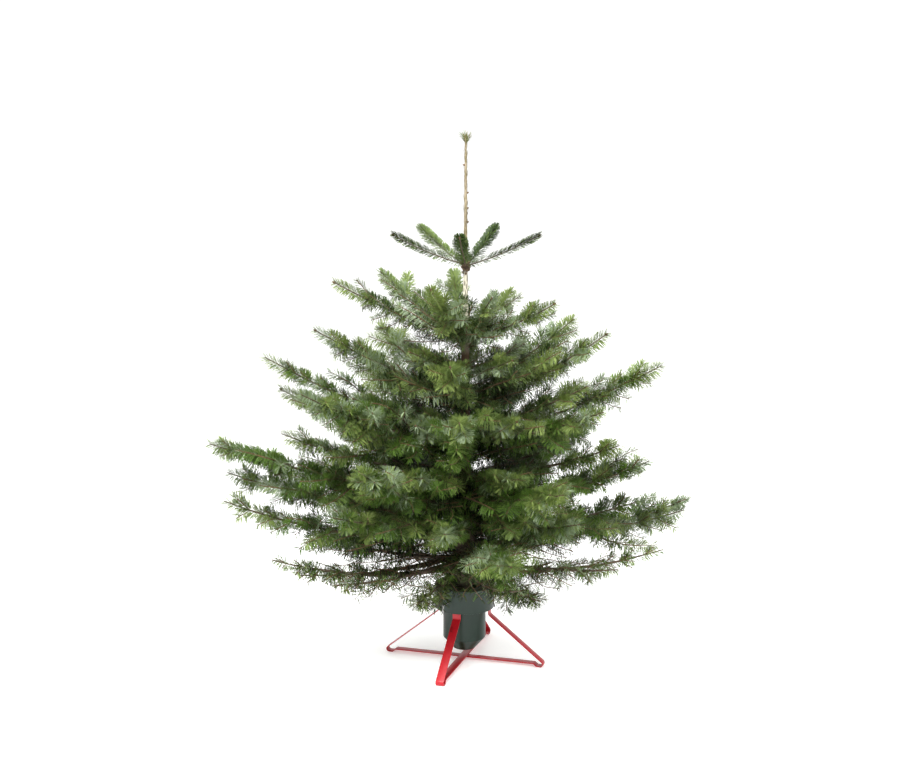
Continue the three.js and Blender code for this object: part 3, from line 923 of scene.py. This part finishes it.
def plastic_material():
    """Moulded plastic with a fine grain and a little dust."""
    material, tree, shader = node_material("cup_plastic")
    tone = setting("colours").cup
    dust = noise_on_object(tree, 9, 5)
    colour_by(tree, dust, [(0.4, tuple(tone)), (0.8, shaded(tone, 1.6))], shader)
    colour_by(tree, dust, [(0.3, (0.28,) * 3), (0.8, (0.45,) * 3)], shader, "Roughness")
    bump(tree, shader, noise_on_object(tree, 900, 2), 0.08, 0.0003)
    shader.inputs["Specular IOR Level"].default_value = 0.3
    return material


def paint_material():
    """Gloss paint on steel, a little uneven, with small darker scuffs."""
    material, tree, shader = node_material("strap_paint")
    tone = setting("colours").strap
    scuffs = noise_on_object(tree, 45, 8)
    stops = [(0.27, shaded(tone, 0.35)), (0.36, tuple(tone)), (0.8, shaded(tone, 1.12))]
    colour_by(tree, scuffs, stops, shader)
    bump(tree, shader, noise_on_object(tree, 220, 3), 0.12, 0.0004)
    gloss = {"Roughness": 0.42, "Specular IOR Level": 0.3, "Coat Weight": 0.12, "Coat Roughness": 0.2}
    set_inputs(shader, gloss)
    return material


def zinc_material():
    material, tree, shader = node_material("screw_zinc")
    tone = setting("colours").zinc
    bloom = noise_on_object(tree, 160, 6)
    colour_by(tree, bloom, [(0.35, shaded(tone, 0.6)), (0.65, tuple(tone))], shader)
    set_inputs(shader, {"Metallic": 0.9, "Roughness": 0.42})
    return material


# ---- Modelling by hand

TRUNK_RINGS = 130
SWELLING, SWELLING_HEIGHT = 0.2, 0.012  # how much wider the trunk is at a whorl, and how far up and down
SCREW_BEND = 0.006


def start_alone():
    if bpy.context.mode != "OBJECT":
        bpy.ops.object.mode_set(mode="OBJECT")
    bpy.ops.object.select_all(action="DESELECT")


def current(name, material):
    piece = bpy.context.object
    piece.name = piece.data.name = name
    piece.data.materials.clear()
    piece.data.materials.append(material)
    return piece


def select_alone(piece):
    start_alone()
    piece.select_set(True)
    bpy.context.view_layer.objects.active = piece


def apply_modifiers(piece):
    select_alone(piece)
    for modifier in list(piece.modifiers):
        bpy.ops.object.modifier_apply(modifier=modifier.name)


def round_edges(piece, width, degrees):
    """Bevels the edges that turn by more than an angle."""
    edge = piece.modifiers.new("edge", "BEVEL")
    edge.width = width
    edge.segments = 2
    edge.limit_method = "ANGLE"
    edge.angle_limit = math.radians(degrees)
    apply_modifiers(piece)


def smooth_by_angle(piece, degrees):
    select_alone(piece)
    bpy.ops.object.shade_smooth_by_angle(angle=math.radians(degrees))


def settle(piece, turn=0.0):
    """Puts a piece's place into its mesh, turned about the trunk, with its object at the origin."""
    piece.data.transform(Matrix.Rotation(turn, 4, "Z") @ piece.matrix_world)
    piece.matrix_world = Matrix.Identity(4)


def make_trunk():
    """A round of bark drawn up ring by ring to the trunk's taper, with swollen whorls and a rough skin."""
    start_alone()
    middle, radius = trunk_at(TRUNK_LEVELS[0])
    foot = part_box("trunk")[0].z
    bpy.ops.mesh.primitive_circle_add(
        vertices=36, radius=radius, fill_type="NGON", location=(middle[0], middle[1], foot)
    )
    bpy.ops.object.mode_set(mode="EDIT")
    whorls = sorted({round(float(np.polyval(Mass(name).path, 0)), 3) for name in SPRAYS})
    heights = np.linspace(foot, TRUNK_LEVELS[-1] - 0.016, TRUNK_RINGS)
    last_radius, last = radius, Vector((middle[0], middle[1], heights[0]))
    for height in heights[1:]:
        middle, radius = trunk_at(height)
        for whorl in whorls:
            radius *= 1 + SWELLING * math.exp(-(((height - whorl) / SWELLING_HEIGHT) ** 2))
        at = Vector(middle)
        bpy.ops.mesh.extrude_region_move(TRANSFORM_OT_translate={"value": at - last})
        bpy.ops.transform.resize(value=(radius / last_radius,) * 3, center_override=at)
        last_radius, last = radius, at
    bpy.ops.mesh.select_all(action="SELECT")
    bpy.ops.mesh.normals_make_consistent(inside=False)
    bpy.ops.object.mode_set(mode="OBJECT")
    piece = current("trunk_bark", trunk_material())
    relief = bpy.data.textures.new("bark_relief", "CLOUDS")
    relief.noise_scale = 0.012
    rough = piece.modifiers.new("relief", "DISPLACE")
    rough.texture = relief
    rough.texture_coords = "LOCAL"
    rough.strength = 0.0022
    rough.mid_level = 0.5
    apply_modifiers(piece)
    settle(piece)
    piece.data.shade_smooth()
    finish(piece, ["trunk"])


def draw_bar(corners, bend, steps=8):
    """Draws the section being worked on along straight runs, and turns it at each corner by a spin."""
    bpy.ops.object.mode_set(mode="EDIT")
    bpy.ops.mesh.select_all(action="SELECT")
    points = [Vector((r, 0, z)) for r, z in corners]
    at = points[0]
    for k in range(1, len(points)):
        here = points[k]
        run = (here - at).normalized()
        if k == len(points) - 1:
            bpy.ops.mesh.extrude_region_move(TRANSFORM_OT_translate={"value": here - at})
            break
        onward = (points[k + 1] - here).normalized()
        turn = run.angle(onward)
        back = bend * math.tan(turn / 2)
        start = here - run * back
        bpy.ops.mesh.extrude_region_move(TRANSFORM_OT_translate={"value": start - at})
        axis = run.cross(onward).normalized()
        centre = start + axis.cross(run) * bend
        bpy.ops.mesh.spin(steps=steps, angle=-turn, center=centre, axis=axis)
        at = here + onward * back
    bpy.ops.mesh.select_all(action="SELECT")
    bpy.ops.mesh.remove_doubles(threshold=0.00001)
    bpy.ops.mesh.normals_make_consistent(inside=False)
    bpy.ops.object.mode_set(mode="OBJECT")


def strap_section(start, towards, width, thickness):
    """A plane of the strap's section, square to its first run."""
    start_alone()
    run = Vector((towards[0] - start[0], 0, towards[1] - start[1])).normalized()
    bpy.ops.mesh.primitive_plane_add(size=1, location=(start[0], 0, start[1]))
    piece = bpy.context.object
    across = Vector((0, 1, 0))
    flat = run.cross(across)
    turn = Matrix((across * width, flat * thickness, run)).transposed().to_4x4()
    piece.data.transform(Matrix.Translation((start[0], 0, start[1])) @ turn)
    piece.matrix_world = Matrix.Identity(4)


def make_strap(name, corners, bearing, material, replaced):
    sizes = setting("stand")
    strap_section(corners[0], corners[1], sizes.strap_width, sizes.strap_thickness)
    draw_bar(corners, sizes.bend)
    piece = current(name, material)
    round_edges(piece, 0.0007, 50)
    settle(piece, bearing)
    smooth_by_angle(piece, 40)
    finish(piece, replaced)


def bearing_of(node):
    """The bearing and the outer radius of a node that stands out from the trunk's axis."""
    flat = node_points(node)[:, :2]
    out = np.linalg.svd(flat, full_matrices=False)[2][0]
    if np.sum(flat @ out) < 0:
        out = -out
    return math.atan2(out[1], out[0]), np.max(flat @ out)


def make_straps():
    """Two straps of flat steel: each is one cross bar with a toe and a leg at both its ends."""
    sizes = setting("stand")
    paint = paint_material()
    floor = sizes.strap_thickness / 2
    hook, free, toe, heel, rise = 0.0842, 0.080, 0.265, 0.231, 0.222  # radii
    hook_foot, free_top, free_foot = 0.205, 0.188, 0.150  # heights
    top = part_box("stand_leg_1")[1].z
    for number, (bar, height) in enumerate((("stand_bar_1", 0.0095), ("stand_bar_2", 0.0128))):
        bearing, _ = bearing_of(bar)
        half = [
            (hook, top), (hook, hook_foot), (free, free_top), (free, free_foot),
            (toe, floor), (heel, floor), (rise, height),
        ]
        whole = half + [(-r, z) for r, z in reversed(half)]
        legs = [node for node in NODES if node.startswith("stand_leg_") and aligned(node, bearing)]
        make_strap(f"strap_{number + 1}", whole, bearing, paint, [bar, *legs])


def aligned(node, bearing):
    off = bearing_of(node)[0] - bearing
    return abs(math.sin(off)) < 0.2


def make_screws():
    """Three clamping screws with bent ends."""
    sizes = setting("stand")
    zinc = zinc_material()
    for node in sorted(name for name in NODES if name.startswith("stand_screw_")):
        bearing, outer = bearing_of(node)
        low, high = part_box(node)
        points = node_points(node)
        inner = np.hypot(points[:, 0], points[:, 1]).min()
        level = high.z - sizes.screw_radius
        reach = outer - sizes.screw_radius
        start_alone()
        bpy.ops.mesh.primitive_circle_add(
            vertices=16, radius=sizes.screw_radius, fill_type="NGON", rotation=(0, math.pi / 2, 0),
            location=(inner, 0, level),
        )
        bpy.ops.object.transform_apply(location=True, rotation=True, scale=True)
        draw_bar([(inner, level), (reach, level), (reach, low.z)], SCREW_BEND)
        piece = current(node.replace("stand_", "") + "_rod", zinc)
        round_edges(piece, 0.0008, 60)
        settle(piece, bearing)
        piece.data.shade_smooth()
        finish(piece, [node])


def rounded(corners, radius, steps=5):
    """A line through corners of radius and height, with its inner corners turned to arcs."""
    points = [Vector(corners[0])]
    for before, here, after in zip(corners, corners[1:], corners[2:]):
        before, here, after = Vector(before), Vector(here), Vector(after)
        back, on = (before - here), (after - here)
        half = back.angle(on) / 2
        cut = min(radius / math.tan(half), back.length * 0.45, on.length * 0.45)
        a, b = here + back.normalized() * cut, here + on.normalized() * cut
        for k in range(steps + 1):
            t = k / steps
            points.append(a * (1 - t) ** 2 + here * 2 * t * (1 - t) + b * t * t)
    return points + [Vector(corners[-1])]


def make_cup():
    """The moulded cup, spun from its section, with a coned bottom and its rim folded down as a collar."""
    sizes = setting("stand")
    low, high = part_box("stand_cup")
    wall, rim, bottom, skirt = sizes.wall, high.z, low.z, (high.x - low.x) / 2
    body, shoulder, foot, inner = 0.065, 0.074, 0.169, 0.033
    section = [
        (0.0, bottom), (inner, bottom), (body, shoulder), (body, rim - wall), (skirt - wall, rim - wall),
        (skirt - wall, foot), (skirt, foot), (skirt, rim), (body - wall, rim),
        (body - wall, shoulder + 0.001), (inner - 0.001, bottom + wall), (0.0, bottom + wall),
    ]
    outline = rounded(section, 0.0022)
    start_alone()
    bpy.ops.mesh.primitive_plane_add(size=0.001, location=(0, 0, 0))
    bpy.ops.object.mode_set(mode="EDIT")
    bpy.ops.mesh.select_all(action="SELECT")
    bpy.ops.mesh.merge(type="CENTER")
    bpy.ops.transform.translate(value=(outline[0].x, 0, outline[0].y))
    for here, onward in zip(outline, outline[1:]):
        step = (onward.x - here.x, 0, onward.y - here.y)
        bpy.ops.mesh.extrude_vertices_move(TRANSFORM_OT_translate={"value": step})
    bpy.ops.mesh.select_all(action="SELECT")
    bpy.ops.mesh.spin(steps=96, angle=2 * math.pi, center=(0, 0, 0), axis=(0, 0, 1))
    bpy.ops.mesh.select_all(action="SELECT")
    bpy.ops.mesh.remove_doubles(threshold=0.00002)
    bpy.ops.mesh.normals_make_consistent(inside=False)
    bpy.ops.object.mode_set(mode="OBJECT")
    piece = current("cup", plastic_material())
    settle(piece)
    smooth_by_angle(piece, 35)
    finish(piece, ["stand_cup"])


# ---- Stage

LIGHT_SIZE = 2.4
LIGHTS = {  # where each stands, and its watts
    "key": ((-1.4, -2.8, 4.6), 500), "fill": ((3.0, -2.6, 2.8), 90), "back": ((0.8, 3.4, 3.8), 90),
}


def make_camera():
    stage = setting("stage")
    start_alone()
    bpy.ops.object.camera_add(
        location=(-stage.offset, -stage.distance, stage.height), rotation=(math.pi / 2 - stage.pitch, 0, 0)
    )
    camera = bpy.context.object
    camera.data.lens = stage.lens
    camera.data.sensor_width = 36
    camera.data.clip_end = 100
    bpy.context.scene.camera = camera


def make_floor():
    start_alone()
    bpy.ops.mesh.primitive_plane_add(size=60, location=(0, 0, 0))
    floor = bpy.context.object
    floor.name = "floor"
    material, tree, shader = node_material("floor_white")
    set_inputs(shader, {
        "Base Color": (*setting("stage").floor, 1), "Roughness": 0.9, "Specular IOR Level": 0.1,
        "Emission Color": (1, 1, 1, 1), "Emission Strength": 0.28,
    })
    floor.data.materials.append(material)


def area_light(name, location, watts):
    bpy.ops.object.light_add(type="AREA", location=location)
    light = bpy.context.object
    light.name = name
    light.data.shape = "SQUARE"
    light.data.size = LIGHT_SIZE
    light.data.energy = watts
    aim = Vector((0, 0, 0.8)) - Vector(location)
    light.rotation_euler = aim.to_track_quat("-Z", "Y").to_euler()


def make_lights():
    world = bpy.data.worlds.new("soft_white")
    world.use_nodes = True
    set_inputs(world.node_tree.nodes["Background"], {"Color": (1, 1, 1, 1), "Strength": 1.1})
    bpy.context.scene.world = world
    for name, (location, watts) in LIGHTS.items():
        area_light(name, location, watts)
    bpy.context.scene.view_settings.view_transform = "Standard"


# ---- Operators and panel


class FIR_OT_stage(bpy.types.Operator):
    """Set up the camera, the floor and the lights"""

    bl_idname = "fir.stage"
    bl_label = "Stage"

    def execute(self, context):
        make_camera()
        make_floor()
        make_lights()
        return {"FINISHED"}


class FIR_OT_trunk(bpy.types.Operator):
    """Model the trunk with its bark"""

    bl_idname = "fir.trunk"
    bl_label = "Trunk"

    def execute(self, context):
        make_trunk()
        return {"FINISHED"}


class FIR_OT_wood(bpy.types.Operator):
    """Grow the boughs and twigs"""

    bl_idname = "fir.wood"
    bl_label = "Boughs and twigs"

    def execute(self, context):
        make_wood()
        return {"FINISHED"}


class FIR_OT_needles(bpy.types.Operator):
    """Set the needles on every shoot"""

    bl_idname = "fir.needles"
    bl_label = "Needles"

    def execute(self, context):
        make_needles()
        return {"FINISHED"}


class FIR_OT_buds(bpy.types.Operator):
    """Set the buds on every tip"""

    bl_idname = "fir.buds"
    bl_label = "Buds"

    def execute(self, context):
        make_buds()
        return {"FINISHED"}


class FIR_OT_cup(bpy.types.Operator):
    """Model the water cup"""

    bl_idname = "fir.cup"
    bl_label = "Cup"

    def execute(self, context):
        make_cup()
        return {"FINISHED"}


class FIR_OT_straps(bpy.types.Operator):
    """Bend the two straps of the legs"""

    bl_idname = "fir.straps"
    bl_label = "Straps"

    def execute(self, context):
        make_straps()
        return {"FINISHED"}


class FIR_OT_screws(bpy.types.Operator):
    """Model the clamping screws"""

    bl_idname = "fir.screws"
    bl_label = "Screws"

    def execute(self, context):
        make_screws()
        return {"FINISHED"}


OPERATORS = [
    FIR_OT_stage, FIR_OT_trunk, FIR_OT_wood, FIR_OT_needles,
    FIR_OT_buds, FIR_OT_cup, FIR_OT_straps, FIR_OT_screws,
]


class FIR_PT_panel(bpy.types.Panel):
    """The fir's pieces, in the order they are made"""

    bl_idname = "FIR_PT_panel"
    bl_label = "Cut Fir in a Stand"
    bl_space_type = "VIEW_3D"
    bl_region_type = "UI"
    bl_category = "Fir"

    def draw(self, context):
        for operator in OPERATORS:
            self.layout.operator(operator.bl_idname)
        for group, kind in GROUPS.items():
            box = self.layout.box()
            for name in kind.__annotations__:
                box.prop(setting(group), name)


CLASSES = [*GROUPS.values(), *OPERATORS, FIR_PT_panel]


def register():
    for item in CLASSES:
        bpy.utils.register_class(item)
    for group, kind in GROUPS.items():
        setattr(bpy.types.Scene, "fir_" + group, bpy.props.PointerProperty(type=kind))


def unregister():
    for group in GROUPS:
        delattr(bpy.types.Scene, "fir_" + group)
    for item in reversed(CLASSES):
        bpy.utils.unregister_class(item)


def main():
    register()
    bpy.ops.fir.stage()
    bpy.ops.fir.trunk()
    bpy.ops.fir.wood()
    bpy.ops.fir.needles()
    bpy.ops.fir.buds()
    bpy.ops.fir.cup()
    bpy.ops.fir.straps()
    bpy.ops.fir.screws()


if __name__ == "__main__":
    main()
